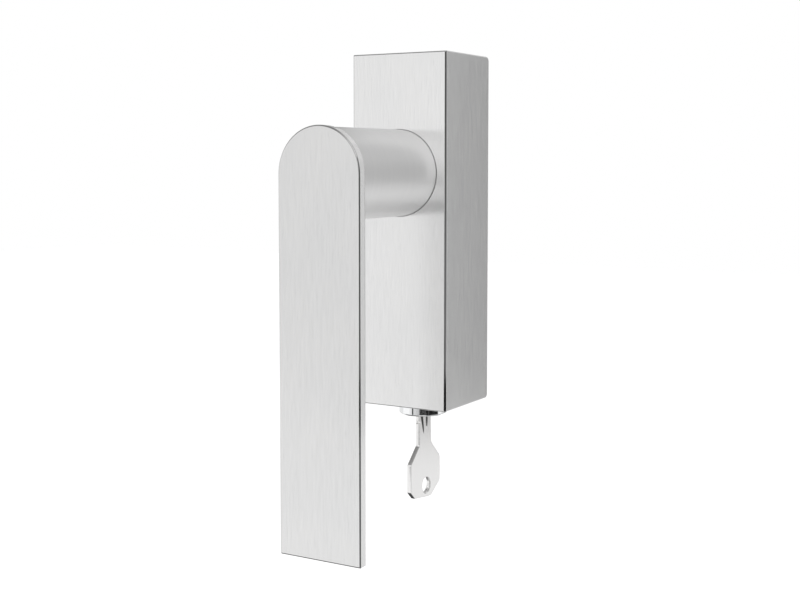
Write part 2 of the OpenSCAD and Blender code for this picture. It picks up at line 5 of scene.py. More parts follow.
import bmesh
import bpy
import numpy as np
from mathutils import Euler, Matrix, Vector


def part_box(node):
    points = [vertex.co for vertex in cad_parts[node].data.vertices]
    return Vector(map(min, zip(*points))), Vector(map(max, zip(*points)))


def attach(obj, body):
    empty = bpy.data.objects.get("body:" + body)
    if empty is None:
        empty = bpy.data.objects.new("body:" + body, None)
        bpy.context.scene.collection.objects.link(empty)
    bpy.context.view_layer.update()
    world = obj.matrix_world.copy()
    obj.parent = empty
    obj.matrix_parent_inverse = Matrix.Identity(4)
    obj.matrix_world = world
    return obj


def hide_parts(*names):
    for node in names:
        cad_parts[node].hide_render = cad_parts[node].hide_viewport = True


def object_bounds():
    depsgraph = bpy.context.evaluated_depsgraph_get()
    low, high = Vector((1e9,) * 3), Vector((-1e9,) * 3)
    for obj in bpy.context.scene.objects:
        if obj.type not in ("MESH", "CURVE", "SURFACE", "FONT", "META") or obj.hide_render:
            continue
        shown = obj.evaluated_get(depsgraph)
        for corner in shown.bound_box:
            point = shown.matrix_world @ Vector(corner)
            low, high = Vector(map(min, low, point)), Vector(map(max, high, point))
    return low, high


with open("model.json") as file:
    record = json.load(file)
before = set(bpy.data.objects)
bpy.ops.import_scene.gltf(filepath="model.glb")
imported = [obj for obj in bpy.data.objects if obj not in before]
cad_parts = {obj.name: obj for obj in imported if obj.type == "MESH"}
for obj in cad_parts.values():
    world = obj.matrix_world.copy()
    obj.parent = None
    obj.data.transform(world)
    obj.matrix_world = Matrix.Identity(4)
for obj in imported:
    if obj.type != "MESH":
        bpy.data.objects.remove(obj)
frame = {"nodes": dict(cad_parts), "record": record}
cad_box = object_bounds()
MM = 0.001
CREASE = np.radians(36)
NO_LENGTH = 1e-12


# ---- Camera ----

def look():
    """The camera in front of the handle's right side, a little above its middle, looking slightly down."""
    lens = bpy.data.cameras.new("camera")
    lens.sensor_width, lens.lens, lens.shift_y = 36.0, 56.6, -0.06
    lens.clip_start, lens.clip_end = 0.01, 100.0
    downward, to_left = 4.085, 30.44
    camera = bpy.data.objects.new("camera", lens)
    camera.location = Vector((201.1, -370.2, 3.4)) * MM
    camera.rotation_euler = Euler(np.radians((90 - downward, 0, to_left)))
    bpy.context.scene.collection.objects.link(camera)
    bpy.context.scene.camera = camera


look()


# ---- Forms ----

def rounded(corners, radii, steps, support):
    """Closed outline whose corners become arcs.

    At a corner P with unit directions a and b to its neighbours, the arc's centre lies on a + b at
    r / sin(half the angle) from P, and the arc runs in that many steps from P + a t to P + b t, with
    t = r / tan(half the angle). Where support is set, one more point stands on each side of the arc, at that
    share of the radius from it. Gives (points, 2).
    """
    p = np.asarray(corners, float)
    r = np.broadcast_to(np.asarray(radii, float), len(p))[:, None]
    a, b = np.roll(p, 1, 0) - p, np.roll(p, -1, 0) - p
    a /= np.linalg.norm(a, axis=1, keepdims=True)
    b /= np.linalg.norm(b, axis=1, keepdims=True)
    half = np.arccos(np.clip((a * b).sum(1, keepdims=True), -1, 1)) / 2
    middle = a + b
    middle /= np.maximum(np.linalg.norm(middle, axis=1, keepdims=True), NO_LENGTH)
    centre = p + middle * r / np.sin(half)
    start, end = p + a * r / np.tan(half), p + b * r / np.tan(half)
    first = np.arctan2(*(start - centre).T[::-1])
    last = np.arctan2(*(end - centre).T[::-1])
    sweep = (last - first + np.pi) % (2 * np.pi) - np.pi
    turn = first[:, None] + sweep[:, None] * np.linspace(0, 1, steps + 1)
    arc = centre[:, None] + r[:, None] * np.stack([np.cos(turn), np.sin(turn)], -1)
    if support:
        before, behind = start + a * r * support, end + b * r * support
        arc = np.concatenate([before[:, None], arc, behind[:, None]], 1)
    return arc.reshape(-1, 2)


def opened(corners, radii, steps, support):
    """The same arcs on an open line, whose two ends stay as they are."""
    p = np.asarray(corners, float)
    inner = rounded(p, np.r_[0, radii, 0], steps, support).reshape(len(p), -1, 2)[1:-1].reshape(-1, 2)
    return np.vstack([p[:1], inner, p[-1:]])


def quarter(steps):
    """Angles from 0 to a quarter turn."""
    return np.radians(np.linspace(0, 90, steps + 1))


def turned(profile, around, axis, centre=(0, 0, 0), phase=0.0):
    """Surface of revolution: profile rows are (radius, place along the axis); ring v, point u stands at that
    radius in the direction of angle 2 pi u / around + phase. Gives (rows, around, 3)."""
    profile = np.asarray(profile, float)
    turn = np.arange(around) / around * 2 * np.pi + phase
    radius, along = profile[:, :1], np.broadcast_to(profile[:, 1:], (len(profile), around))
    one, two = radius * np.cos(turn), radius * np.sin(turn)
    order = {"x": (along, one, two), "y": (one, along, two), "z": (one, two, along)}[axis]
    return np.stack(order, -1) + np.asarray(centre, float)


def in_plane(outline, depth, axis="y"):
    """An outline's two columns as X and Z at one Y, or as Y and Z at one X."""
    a, b = outline.T
    flat = np.full(len(a), depth)
    return np.stack((a, flat, b) if axis == "y" else (flat, a, b), -1)


def creased(mesh):
    """Breaks the smooth shading where faces meet at more than the crease angle; flat faces stay flat."""
    smooth = np.empty(len(mesh.polygons), bool)
    mesh.polygons.foreach_get("use_smooth", smooth)
    mesh.set_sharp_from_angle(angle=CREASE)
    mesh.polygons.foreach_set("use_smooth", smooth)
    return mesh


class Form:
    """Points and faces of one piece, gathered from skins (grids of points) and flat caps."""

    def __init__(self):
        self.points, self.faces, self.smooth, self.count = [], [], [], 0

    def add(self, points, faces, smooth):
        """Adds points and the faces between them."""
        self.points.append(points)
        self.faces += [tuple(int(i) + self.count for i in f) for f in faces]
        self.smooth += [smooth] * len(faces)
        self.count += len(points)
        return self

    def skin(self, rings, smooth=True, joined=False):
        """Joins each ring to the next by quads, and the last to the first where joined is set."""
        rings = np.asarray(rings, float)
        rows, around = rings.shape[:2]
        v = np.arange(rows if joined else rows - 1)[:, None]
        u = np.arange(around)[None]
        steps = ((0, 0), (0, 1), (1, 1), (1, 0))
        corner = [((v + dv) % rows) * around + (u + du) % around for dv, du in steps]
        return self.add(rings.reshape(-1, 3), np.stack(corner, -1).reshape(-1, 4), smooth)

    def cap(self, ring):
        """One flat face inside a ring."""
        return self.add(np.asarray(ring, float), [np.arange(len(ring))], False)

    def mesh(self, name):
        """The mesh with its doubles merged and its faces outward."""
        made = bpy.data.meshes.new(name)
        made.from_pydata(np.vstack(self.points).tolist(), [], self.faces)
        made.polygons.foreach_set("use_smooth", self.smooth)
        work = bmesh.new()
        work.from_mesh(made)
        bmesh.ops.remove_doubles(work, verts=work.verts, dist=1e-4 * MM)
        bmesh.ops.dissolve_degenerate(work, edges=work.edges, dist=1e-5 * MM)
        bmesh.ops.recalc_face_normals(work, faces=work.faces)
        work.to_mesh(made)
        work.free()
        return creased(made)

    def piece(self, name):
        """An object with this form as its mesh."""
        return linked(name, self.mesh(name))


def closed(rings, smooth=True):
    """A form whose skin joins the rings, with a flat cap on the first and the last."""
    return Form().skin(rings, smooth).cap(rings[0]).cap(rings[-1])


def linked(name, data):
    """A new object in the scene, at the origin."""
    made = bpy.data.objects.new(name, data)
    bpy.context.scene.collection.objects.link(made)
    return made


def cut(piece, *tools):
    """Takes the tools' forms off a piece and keeps the result as its mesh."""
    for tool in tools:
        cutter = tool.piece("cutter")
        off = piece.modifiers.new("cut", "BOOLEAN")
        off.operation, off.solver, off.object = "DIFFERENCE", "EXACT", cutter
        bpy.context.view_layer.update()
        seen = piece.evaluated_get(bpy.context.evaluated_depsgraph_get())
        whole = bpy.data.meshes.new_from_object(seen)
        piece.modifiers.clear()
        old, piece.data = piece.data, whole
        whole.name = piece.name
        creased(whole)
        bpy.data.meshes.remove(old)
        spare = cutter.data
        bpy.data.objects.remove(cutter)
        bpy.data.meshes.remove(spare)
    return piece


def fit(piece, body, material_slot, *nodes):
    """Gives a new piece its finish and its body, and hides the solids it stands for."""
    piece.data.materials.clear()
    piece.data.materials.append(FINISH[material_slot])
    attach(piece, body)
    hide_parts(*nodes)
    return piece


# ---- Shader sums ----

class Wire:
    """A value on a shader socket; a sum written with it adds its Math node."""

    def __init__(self, recipe, socket):
        self.recipe, self.socket = recipe, socket

    def sum(self, operation, *terms):
        return self.recipe.add("Math", {"operation": operation}, dict(enumerate(terms)))

    def __add__(self, other):
        return self.sum("ADD", self, other)

    def __sub__(self, other):
        return self.sum("SUBTRACT", self, other)

    def __rsub__(self, other):
        return self.sum("SUBTRACT", other, self)

    def __mul__(self, other):
        return self.sum("MULTIPLY", self, other)

    def __pow__(self, other):
        return self.sum("POWER", self, other)

    def __abs__(self):
        return self.sum("ABSOLUTE", self)

    __radd__, __rmul__ = __add__, __mul__


class Recipe:
    """The nodes of one material or of the world."""

    BRIGHTEST = 2.0

    def __init__(self, tree):
        self.tree = tree
        tree.nodes.clear()

    def add(self, kind, settings=None, inputs=None, out=0):
        """Adds a node: its settings first, then the values or wires of its sockets. Gives the wire of one
        output, or the node itself where out is None."""
        made = self.tree.nodes.new("ShaderNode" + kind)
        for name, value in (settings or {}).items():
            if name == "stops":
                ramp = made.color_ramp.elements
                while len(ramp) < len(value):
                    ramp.new(0.5)
                for stop, (place, shade) in zip(ramp, value):
                    stop.position, stop.color = place, (*shade, 1.0)
            else:
                setattr(made, name, value)
        for name, value in (inputs or {}).items():
            if isinstance(value, Wire):
                self.tree.links.new(value.socket, made.inputs[name])
            else:
                made.inputs[name].default_value = value
        return made if out is None else Wire(self, made.outputs[out])

    def step(self, value, low, high):
        """Smooth step from 0 to 1 while a value goes from low to high."""
        return self.add("MapRange", {"interpolation_type": "SMOOTHSTEP"}, {0: value, 1: low, 2: high})

    def curve(self, value, *stops):
        """A level that runs straight between stops of (value, level), none of them over BRIGHTEST."""
        low, high = stops[0][0], stops[-1][0]
        share = self.add("MapRange", None, {0: value, 1: low, 2: high})
        ramp = [((place - low) / (high - low), (level / self.BRIGHTEST,) * 3) for place, level in stops]
        return self.add("ValToRGB", {"stops": ramp}, {0: share}) * self.BRIGHTEST

    def place(self):
        """Object coordinates in millimetres."""
        spot = self.add("TexCoord", out="Object")
        return self.add("VectorMath", {"operation": "SCALE"}, {0: spot, "Scale": 1 / MM})

    def times(self, vector, factors):
        """A vector or colour times another, part by part."""
        return self.add("VectorMath", {"operation": "MULTIPLY"}, {0: vector, 1: factors})

    def parts(self, vector):
        split = self.add("SeparateXYZ", None, {0: vector}, out=None)
        return [Wire(self, socket) for socket in split.outputs]

    def joined(self, x, y, z):
        return self.add("CombineXYZ", None, {0: x, 1: y, 2: z})

    def noise(self, vector, scale, detail, rough):
        return self.add("TexNoise", {"noise_dimensions": "3D"},
                        {"Vector": vector, "Scale": scale, "Detail": detail, "Roughness": rough})

    def tint(self, factor, low, high):
        """The colour between two others."""
        return self.add("Mix", {"data_type": "RGBA"}, {0: factor, 6: (*low, 1), 7: (*high, 1)}, out=2)

    def dim(self, colour, factor):
        """A colour times a value."""
        return self.times(colour, self.joined(factor, factor, factor))

    def bump(self, height, depth_mm, strength):
        return self.add("Bump", None, {"Height": height, "Distance": depth_mm * MM, "Strength": strength})


def material(name, write):
    """A material from a function that takes its recipe and gives the sockets of its Principled shader."""
    made = bpy.data.materials.new(name)
    made.use_nodes = True
    recipe = Recipe(made.node_tree)
    shader = recipe.add("BsdfPrincipled", None, write(recipe), out="BSDF")
    recipe.add("OutputMaterial", None, {"Surface": shader}, out=None)
    return made


# ---- Finishes (places and depths in millimetres) ----

LOCK_AXIS = (0, -13.0)


def grey(value, warm=0.0):
    """A near neutral metal colour."""
    return (value * (1 + warm), value, value * (1 - warm))


def brushed(shade, rough, rim=1.0):
    """Steel sheet brushed along Z on its upright faces and along X on its ends. Its chamfers are smoother,
    and darker by painted shade that stands in for the dark edge lines they mirror.

    The rim paints the faces that stand square to the front brighter than the front by that factor: a painted
    highlight, since their metal is the same.
    """
    along_brush = 0.03
    # The first darkens the chamfers with painted shade for the dark edge lines they mirror; the second makes
    # them glossier.
    chamfer_painted_shade, chamfer_gloss = 0.4, 0.12

    def write(r):
        p = r.place()
        nx, ny, nz = r.parts(r.add("TexCoord", out="Normal"))
        ends = r.step(abs(nz), 0.75, 0.9)
        slant = r.step(abs(nx) * abs(ny) + abs(ny) * abs(nz), 0.3, 0.45)
        upright = r.times(p, (1.0, 1.0, along_brush))
        lying = r.times(p, (along_brush, 1.0, 1.0))
        grain = r.add("Mix", {"data_type": "VECTOR"}, {0: ends, 4: upright, 5: lying}, out=1)
        fine = r.noise(grain, 5.5, 3.0, 0.6)
        lines = r.noise(r.times(grain, (1.0, 1.0, 2.2)), 2.1, 2.0, 0.55)
        scratch = r.step(r.noise(r.times(grain, (1.0, 1.0, 3.0)), 3.4, 1.0, 0.5), 0.66, 0.74)
        cloud = r.noise(p, 0.045, 2.0, 0.5)
        level = 0.90 + fine * 0.09 + lines * 0.10 + cloud * 0.03 - scratch * 0.05
        # Faces square to the front get a painted highlight, scaled by the rim.
        painted_rim_mask = 1 - r.step(abs(ny), 0.2, 0.5)
        # Painted shade on the chamfers, through the slant mask.
        level = level * (1 + painted_rim_mask * (rim - 1)) * (1 - slant * chamfer_painted_shade)
        height = fine * 0.55 + lines * 0.45 - scratch * 0.5
        colour = r.tint(cloud, grey(shade * 0.985, -0.004), grey(shade * 1.015, 0.006))
        return {
            "Base Color": r.dim(colour, level),
            "Metallic": 1.0,
            "Roughness": (rough - 0.05) + fine * 0.07 + lines * 0.05 - slant * chamfer_gloss,
            "Normal": r.bump(height, 0.012, 0.4),
            "Anisotropic": 0.6,
        }
    return write


def turned_satin(shade, rough):
    """Steel turned round the Y axis, with fine rings that follow the tool and a faint broad wave."""
    def write(r):
        p = r.place()
        x, y, z = r.parts(p)
        radius = (x * x + z * z) ** 0.5
        rings = r.noise(r.joined(radius * 6.0, y * 6.0, radius * 0.02), 1.0, 2.0, 0.6)
        broad = r.noise(r.joined(x * 0.05, y * 0.6, z * 0.05), 1.0, 2.0, 0.5)
        speck = r.noise(p, 9.0, 1.0, 0.5)
        return {
            "Base Color": r.dim(r.tint(broad, grey(shade * 0.98), grey(shade * 1.02, 0.003)),
                                0.93 + rings * 0.09 + speck * 0.04),
            "Metallic": 1.0,
            "Roughness": rough - 0.03 + rings * 0.06 + speck * 0.03,
            "Normal": r.bump(rings * 0.8 + speck * 0.2, 0.006, 0.4),
            "Anisotropic": 0.15,
        }
    return write


def polished(shade, rough, warm, scratches):
    """Plated and polished metal with hairline scratches and a faint haze."""
    def write(r):
        p = r.place()
        haze = r.noise(p, 0.35, 3.0, 0.6)
        one = r.noise(r.times(p, (1.6, 0.25, 3.1)), 2.4, 1.0, 0.5)
        two = r.noise(r.times(p, (0.3, 2.7, 1.9)), 2.9, 1.0, 0.5)
        hair = r.step(abs(one - 0.5) * -1.0, -0.012, 0.0) + r.step(abs(two - 0.5) * -1.0, -0.01, 0.0)
        wave = r.noise(p, 0.9, 1.0, 0.4)
        return {
            "Base Color": r.dim(r.tint(haze, grey(shade * 0.97, warm), grey(shade * 1.01, warm * 0.6)),
                                1.0 - hair * 0.05),
            "Metallic": 1.0,
            "Roughness": rough + haze * 0.06 + hair * (0.06 * scratches),
            "Normal": r.bump(wave * 0.7 - hair * 0.06, 0.01, 0.35 * scratches),
        }
    return write


def machined(shade, rough, warm, axis, centre=(0, 0)):
    """Turned or drawn metal: fine rings round one axis that change along it, with blotches of plating."""
    blotch = 0.05

    def write(r):
        p = r.place()
        parts = dict(zip("xyz", r.parts(p)))
        along = parts.pop(axis)
        a, b = parts.values()
        a, b = a - centre[0], b - centre[1]
        radius = (a * a + b * b) ** 0.5
        rings = r.noise(r.joined(radius * 7.0, along * 7.0, 0.0), 1.0, 2.0, 0.6)
        cloud = r.noise(p, 0.5, 3.0, 0.6)
        grit = r.noise(p, 6.0, 2.0, 0.6)
        colour = r.tint(cloud, grey(shade * (1 - blotch), warm), grey(shade * (1 + blotch), warm * 0.7))
        return {
            "Base Color": r.dim(colour, 0.92 + rings * 0.10 + grit * 0.05),
            "Metallic": 1.0,
            "Roughness": rough - 0.05 + rings * 0.08 + cloud * 0.06,
            "Normal": r.bump(rings * 0.6 + grit * 0.4, 0.012, 0.4),
        }
    return write


def cast(shade, rough):
    """Die cast zinc: a dull skin with flow marks and a fine orange peel."""
    def write(r):
        p = r.place()
        flow = r.noise(r.times(p, (0.2, 0.2, 0.08)), 1.0, 4.0, 0.6)
        peel = r.noise(p, 2.6, 3.0, 0.55)
        grit = r.noise(p, 11.0, 2.0, 0.5)
        return {
            "Base Color": r.dim(r.tint(flow, grey(shade * 0.88, -0.01), grey(shade * 1.08, 0.005)),
                                0.93 + peel * 0.08 + grit * 0.05),
            "Metallic": 1.0,
            "Roughness": rough - 0.05 + flow * 0.1 + grit * 0.06,
            "Normal": r.bump(peel * 0.7 + grit * 0.3, 0.03, 0.5),
        }
    return write


def zinc_plated(shade, rough):
    """Rolled steel with bright zinc: rolling lines, faint blue and straw patches."""
    def write(r):
        p = r.place()
        rolled = r.noise(r.times(p, (4.0, 4.0, 0.1)), 1.0, 2.0, 0.6)
        patch = r.noise(p, 0.16, 3.0, 0.55)
        spangle = r.noise(p, 1.4, 2.0, 0.5)
        colour = r.add("ValToRGB", {"stops": (
            (0.35, (shade * 0.93, shade * 0.97, shade * 1.04)),
            (0.50, (shade, shade, shade)),
            (0.68, (shade * 1.05, shade * 1.01, shade * 0.92)),
        )}, {0: patch})
        return {
            "Base Color": r.dim(colour, 0.93 + rolled * 0.08 + spangle * 0.06),
            "Metallic": 1.0,
            "Roughness": rough - 0.06 + rolled * 0.07 + spangle * 0.08,
            "Normal": r.bump(rolled * 0.6 + spangle * 0.4, 0.015, 0.4),
        }
    return write


def moulded(colour, rough):
    """Moulded plastic: fine spark texture and a little wear of its gloss."""
    def write(r):
        p = r.place()
        spark = r.noise(p, 5.0, 3.0, 0.6)
        cloud = r.noise(p, 0.3, 2.0, 0.5)
        low, high = (tuple(c * k for c in colour) for k in (0.94, 1.03))
        return {
            "Base Color": r.dim(r.tint(cloud, low, high), 0.97 + spark * 0.05),
            "Roughness": rough - 0.05 + spark * 0.1 + cloud * 0.04,
            "Normal": r.bump(spark, 0.02, 0.5),
            "IOR": 1.48,
        }
    return write


FINISH = {name: material(name, write) for name, write in {
    "brushed_cover": brushed(0.88, 0.16),
    # The blade's rim of 1.22 paints its edge faces brighter than its front: a painted highlight.
    "brushed_blade": brushed(0.78, 0.20, 1.22),
    "satin_neck": turned_satin(0.82, 0.36),
    "chrome_cylinder": polished(0.88, 0.02, -0.01, 0.5),
    "nickel_key": polished(0.92, 0.12, 0.008, 1.0),
    "plug_brass": machined(0.62, 0.24, 0.04, "z", LOCK_AXIS),
    "wafer_brass": machined(0.62, 0.3, 0.2, "z", LOCK_AXIS),
    "cap_brass": machined(0.60, 0.3, 0.22, "z", LOCK_AXIS),
    "die_cast_zinc": cast(0.42, 0.5),
    "zinc_plated_plate": zinc_plated(0.60, 0.34),
    "zinc_plated_screw": zinc_plated(0.62, 0.28),
    "spindle_steel": zinc_plated(0.55, 0.36),
    "hard_steel": machined(0.40, 0.28, 0.0, "y"),
    "spring_steel": machined(0.42, 0.3, 0.0, "z", LOCK_AXIS),
    "black_steel": machined(0.06, 0.42, 0.0, "z"),
    "white_bush": moulded((0.80, 0.79, 0.75), 0.42),
    "dark_ring": moulded((0.035, 0.035, 0.037), 0.5),
}.items()}

for row in frame["record"]["subparts"]:
    node = frame["nodes"][row["node"]]
    if node.material_slots:
        node.material_slots[0].material = FINISH[row["material_slot"]]
    else:
        node.data.materials.append(FINISH[row["material_slot"]])


# ---- Housing ----

cover_low, cover_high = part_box("housing_cover")
neck_low, neck_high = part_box("lever_neck")
blade_low, blade_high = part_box("lever_blade")
barrel_low, barrel_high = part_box("push_cylinder")
key_low, key_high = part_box("key")
cover_wall = 2 * MM
cover_chamfer = 0.6 * MM
neck_r = neck_high.x
barrel_r = barrel_high.x
barrel_y = (barrel_low.y + barrel_high.y) / 2
plug_face = barrel_low.z + 0.3 * MM
shank_front, shank_rear = barrel_y - 3.5 * MM, barrel_y + 4.0 * MM
tool_reach = 1 * MM


def cover_form():
    """Hollow box as one ring of rings: from the neck hole over the front, the chamfer and the sides to the
    sash, and back along the inside. Each ring is a rectangle with small corners; those of the hole are the
    same points drawn in to the hole's radius along their own directions from the axis."""
    half, bottom, top, front = cover_high.x, cover_low.z, cover_high.z, cover_low.y
    c, s, wall = cover_chamfer, 0.12 * MM, cover_wall
    corner, sharp, sash_r = 0.35 * MM, 0.05 * MM, 1.2 * MM
    end_share = 0.6
    hole_r = neck_r + 0.08 * MM
    wide, low, high = half - c, bottom + c, top - c

    def angles(count, *ends):
        """Directions from the neck's axis, spread evenly between two corners of the front."""
        return np.linspace(*np.arctan2(*np.transpose([e[::-1] for e in ends])), count)

    rise = wide * np.tan(angles(48, (wide, low), (wide, high)))
    over = high / np.tan(angles(28, (wide, high), (-wide, high)))
    under = low / np.tan(angles(16, (-wide, low), (wide, low)))

    def shares(places, length):
        """Places along one side as shares of its length, with one more just inside each end."""
        near_end = 0.1 * MM / length
        return np.r_[0, near_end, (places / length)[1:-1], 1 - near_end, 1]

    share_up = shares(rise - low, high - low)
    share_over, share_under = shares(wide - over, 2 * wide), shares(under + wide, 2 * wide)

    def rectangle(side, z0, z1, radius):
        """Right side up, top to the left, left side down, bottom to the right, with an arc after each."""
        bend = quarter(4)
        in_x, in_0, in_1 = side - radius, z0 + radius, z1 - radius

        def arc(cx, cz, turn):
            return np.stack([cx + radius * np.cos(bend + turn), cz + radius * np.sin(bend + turn)], -1)

        up = in_0 + share_up * (in_1 - in_0)
        across, back = in_x - share_over * 2 * in_x, -in_x + share_under * 2 * in_x
        return np.vstack([
            np.stack([np.full_like(up, side), up], -1), arc(in_x, in_1, 0),
            np.stack([across, np.full_like(across, z1)], -1), arc(-in_x, in_1, np.pi / 2),
            np.stack([np.full_like(up, -side), up[::-1]], -1), arc(-in_x, in_0, np.pi),
            np.stack([back, np.full_like(back, z0)], -1), arc(in_x, in_0, 1.5 * np.pi),
        ])

    def shell(profile):
        """Rings from rows of (inset of the sides, inset of the ends, Y)."""
        return [in_plane(rectangle(half - sides, bottom + ends, top - ends, max(corner - sides, sharp)), y)
                for sides, ends, y in profile]

    def mouth(profile):
        """Rings of the neck's hole from rows of (radius, Y)."""
        facing = rectangle(wide, low, high, sharp)
        facing /= np.linalg.norm(facing, axis=1, keepdims=True)
        return [in_plane(facing * r, y) for r, y in profile]

    lip = [(0, wall), (0, 2 * s), (0, 0.6 * s), (0.2 * s, 0.2 * s), (0.6 * s, 0), (2 * s, 0)]
    chamfer = [(c + 2 * s, 0), (c + s, 0), (c + 0.3 * s, 0.12 * s), (c - 0.7 * s, 0.7 * s),
               (0.7 * s, c - 0.7 * s), (0.12 * s, c + 0.3 * s), (0, c + s), (0, c + 2 * s)]
    sash = [(0, sash_r * (1 - np.cos(b)), -sash_r * (1 - np.sin(b))) for b in quarter(8)]
    outside = mouth([(hole_r + out, front + depth) for out, depth in lip])
    outside += shell([(inset, end_share * inset, front + depth) for inset, depth in chamfer])
    outside += shell([(0, 0, -sash_r - s)] + sash + [(0.4 * s, sash_r, 0)])
    inside = shell([(wall, wall, 0), (wall, wall, front + wall)])
    return Form().skin(outside + inside, joined=True)


def flared_bore(radius, lip, x, y, around):
    """Cutter for a round hole through the cover's lower wall that opens in a small countersink below."""
    mouth, low, high = cover_low.z, cover_low.z - tool_reach, cover_low.z + cover_wall + tool_reach
    profile = [(0, low), (radius + lip + mouth - low, low), (radius, mouth + lip), (radius, high), (0, high)]
    return Form().skin(turned(profile, around, "z", (x, y, 0)))


def housing_cover():
    """The cover, with the holes of the push cylinder and the two grub screws in its underside."""
    piece = cover_form().piece("cover_shell")
    grub_low, grub_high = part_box("cover_grub_screws")
    grub_r, play = 1.5 * MM, 0.3 * MM
    grub_x, grub_y = grub_high.x - grub_r, (grub_low.y + grub_high.y) / 2
    tools = [flared_bore(barrel_r + play, 0.25 * MM, 0, barrel_y, 96)]
    for x in (-grub_x, grub_x):
        tools.append(flared_bore(grub_r, 0.2 * MM, x, grub_y, 40))
    return fit(cut(piece, *tools), "housing", "brushed_cover", "housing_cover")


# ---- Lever ----

def lever_blade():
    """Flat bar with a half round top: the outline is a rounded rectangle whose upper radius is half its
    width, and each ring is that outline drawn in by the edge profile's inset. One more point near each end
    of a straight side keeps its shading flat."""
    half, top, bottom = blade_high.x, blade_high.z, blade_low.z
    front, back = blade_low.y, blade_high.y
    c, s = 0.38 * MM, 0.08 * MM
    foot_r, sharp = 0.3 * MM, 0.06 * MM
    steps = 40

    def outline(inset):
        """The outline drawn in; the right side starts after its first arc, the left one after its third."""
        h, b = half - inset, bottom + inset
        foot = max(foot_r - inset, sharp)
        corners = [(h, b), (h, top - inset), (-h, top - inset), (-h, b)]
        line = rounded(corners, [foot, h, h, foot], steps, 0.0)
        low, high = b + foot + 0.1 * MM, top - inset - h - 0.3 * MM
        right, left = steps + 1, 3 * (steps + 1)
        return np.insert(line, [right, right, left, left], [(h, low), (h, high), (-h, high), (-h, low)], 0)

    profile = [(c + 3 * s, front), (c + s, front), (c + 0.3 * s, front + 0.1 * s),
               (c - 0.7 * s, front + 0.7 * s), (0.7 * s, front + c - 0.7 * s), (0.1 * s, front + c + 0.3 * s),
               (0, front + c + s), (0, front + c + 3 * s), (0, back - 5 * s), (0, back - 2 * s),
               (0.6 * s, back - 0.6 * s), (2 * s, back), (5 * s, back)]
    rings = [in_plane(outline(inset), y) for inset, y in profile]
    return fit(closed(rings).piece("blade"), "lever", "brushed_blade", "lever_blade")


def lever_neck():
    """Round neck and journal, turned about the spindle axis; the socket's rings go from round to square:
    radius over the larger of |cos| and |sin| of the angle."""
    front, end = neck_low.y, neck_high.y
    into_blade, shoulder, socket_end = 0.05 * MM, -25.0 * MM, -45.5 * MM
    journal_r, groove_r, mouth_r, socket = 6.5 * MM, 5.6 * MM, 5.4 * MM, 3.55 * MM
    groove, groove_w = -2.75 * MM, 0.8 * MM
    around = 128
    line = opened(
        [(neck_r, front - into_blade), (neck_r, shoulder), (journal_r, shoulder), (journal_r, groove),
         (groove_r, groove), (groove_r, groove + groove_w), (journal_r, groove + groove_w), (journal_r, end),
         (mouth_r, end)],
        np.array([0.25, 0.1, 0.05, 0.05, 0.05, 0.05, 0.15]) * MM, 5, 1.0)
    outside = turned(line, around, "y", phase=np.pi / around)
    turn = np.arange(around) / around * 2 * np.pi + np.pi / around
    square = socket / np.maximum(abs(np.cos(turn)), abs(np.sin(turn)))
    inside = np.stack([np.stack([square * np.cos(turn), np.full(around, y), square * np.sin(turn)], -1)
                       for y in (end, socket_end)])
    form = Form().skin(outside).skin(np.stack([outside[-1], inside[0]]), False).skin(inside, False)
    form.cap(inside[-1]).cap(outside[0])
    return fit(form.piece("neck"), "lever", "satin_neck", "lever_neck")


def spindle():
    """Drawn square bar with rolled edges and a chamfered free end: each ring is its square drawn in by the
    inset, at one Y, with its own corner radius."""
    low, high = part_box("spindle")
    half, a, b = high.x, low.y / MM, high.y / MM
    rows = [(1.2, a, 0.9), (0.3, a, 0.9), (0, a + 0.3, 0.55), (0, a + 1, 0.55),
            (0, b - 2, 0.55), (0, b - 1, 0.55), (0.9, b, 0.55), (1.6, b, 0.4)]

    def square(inset, radius):
        h = half - inset
        return rounded([(h, -h), (h, h), (-h, h), (-h, -h)], radius, 5, 0.4)

    rings = [in_plane(square(inset * MM, radius * MM), y * MM) for inset, y, radius in rows]
    return fit(closed(rings).piece("square_bar"), "lever", "spindle_steel", "spindle")


# ---- Fixing screws ----

def thread(radius, pitch, depth, end, z, around):
    """Screw thread along Y from the sash plane: at angle t and place y the radius is the crest's, less depth
    times a trapezium wave of y / pitch - t / 2 pi. It starts from the core and runs out to it at the tip."""
    run_in, tip_slope, rows_per_turn = 0.3 * MM, 1.1, 12
    flank, crest = 2.6, 0.25
    y = np.append(np.arange(0.0, end, pitch / rows_per_turn), end)
    turn = np.arange(around) / around * 2 * np.pi
    phase = (y[:, None] / pitch - turn / (2 * np.pi)) % 1.0
    wave = np.clip(abs(phase - 0.5) * flank - crest, 0, 1)
    out = np.minimum(radius - depth * wave, radius - 0.75 * depth + (end - y)[:, None] * tip_slope)
    out = np.where(y[:, None] < run_in, np.minimum(out, radius - depth), out)
    along = np.broadcast_to(y[:, None], out.shape)
    return np.stack([out * np.cos(turn), along, z + out * np.sin(turn)], -1)


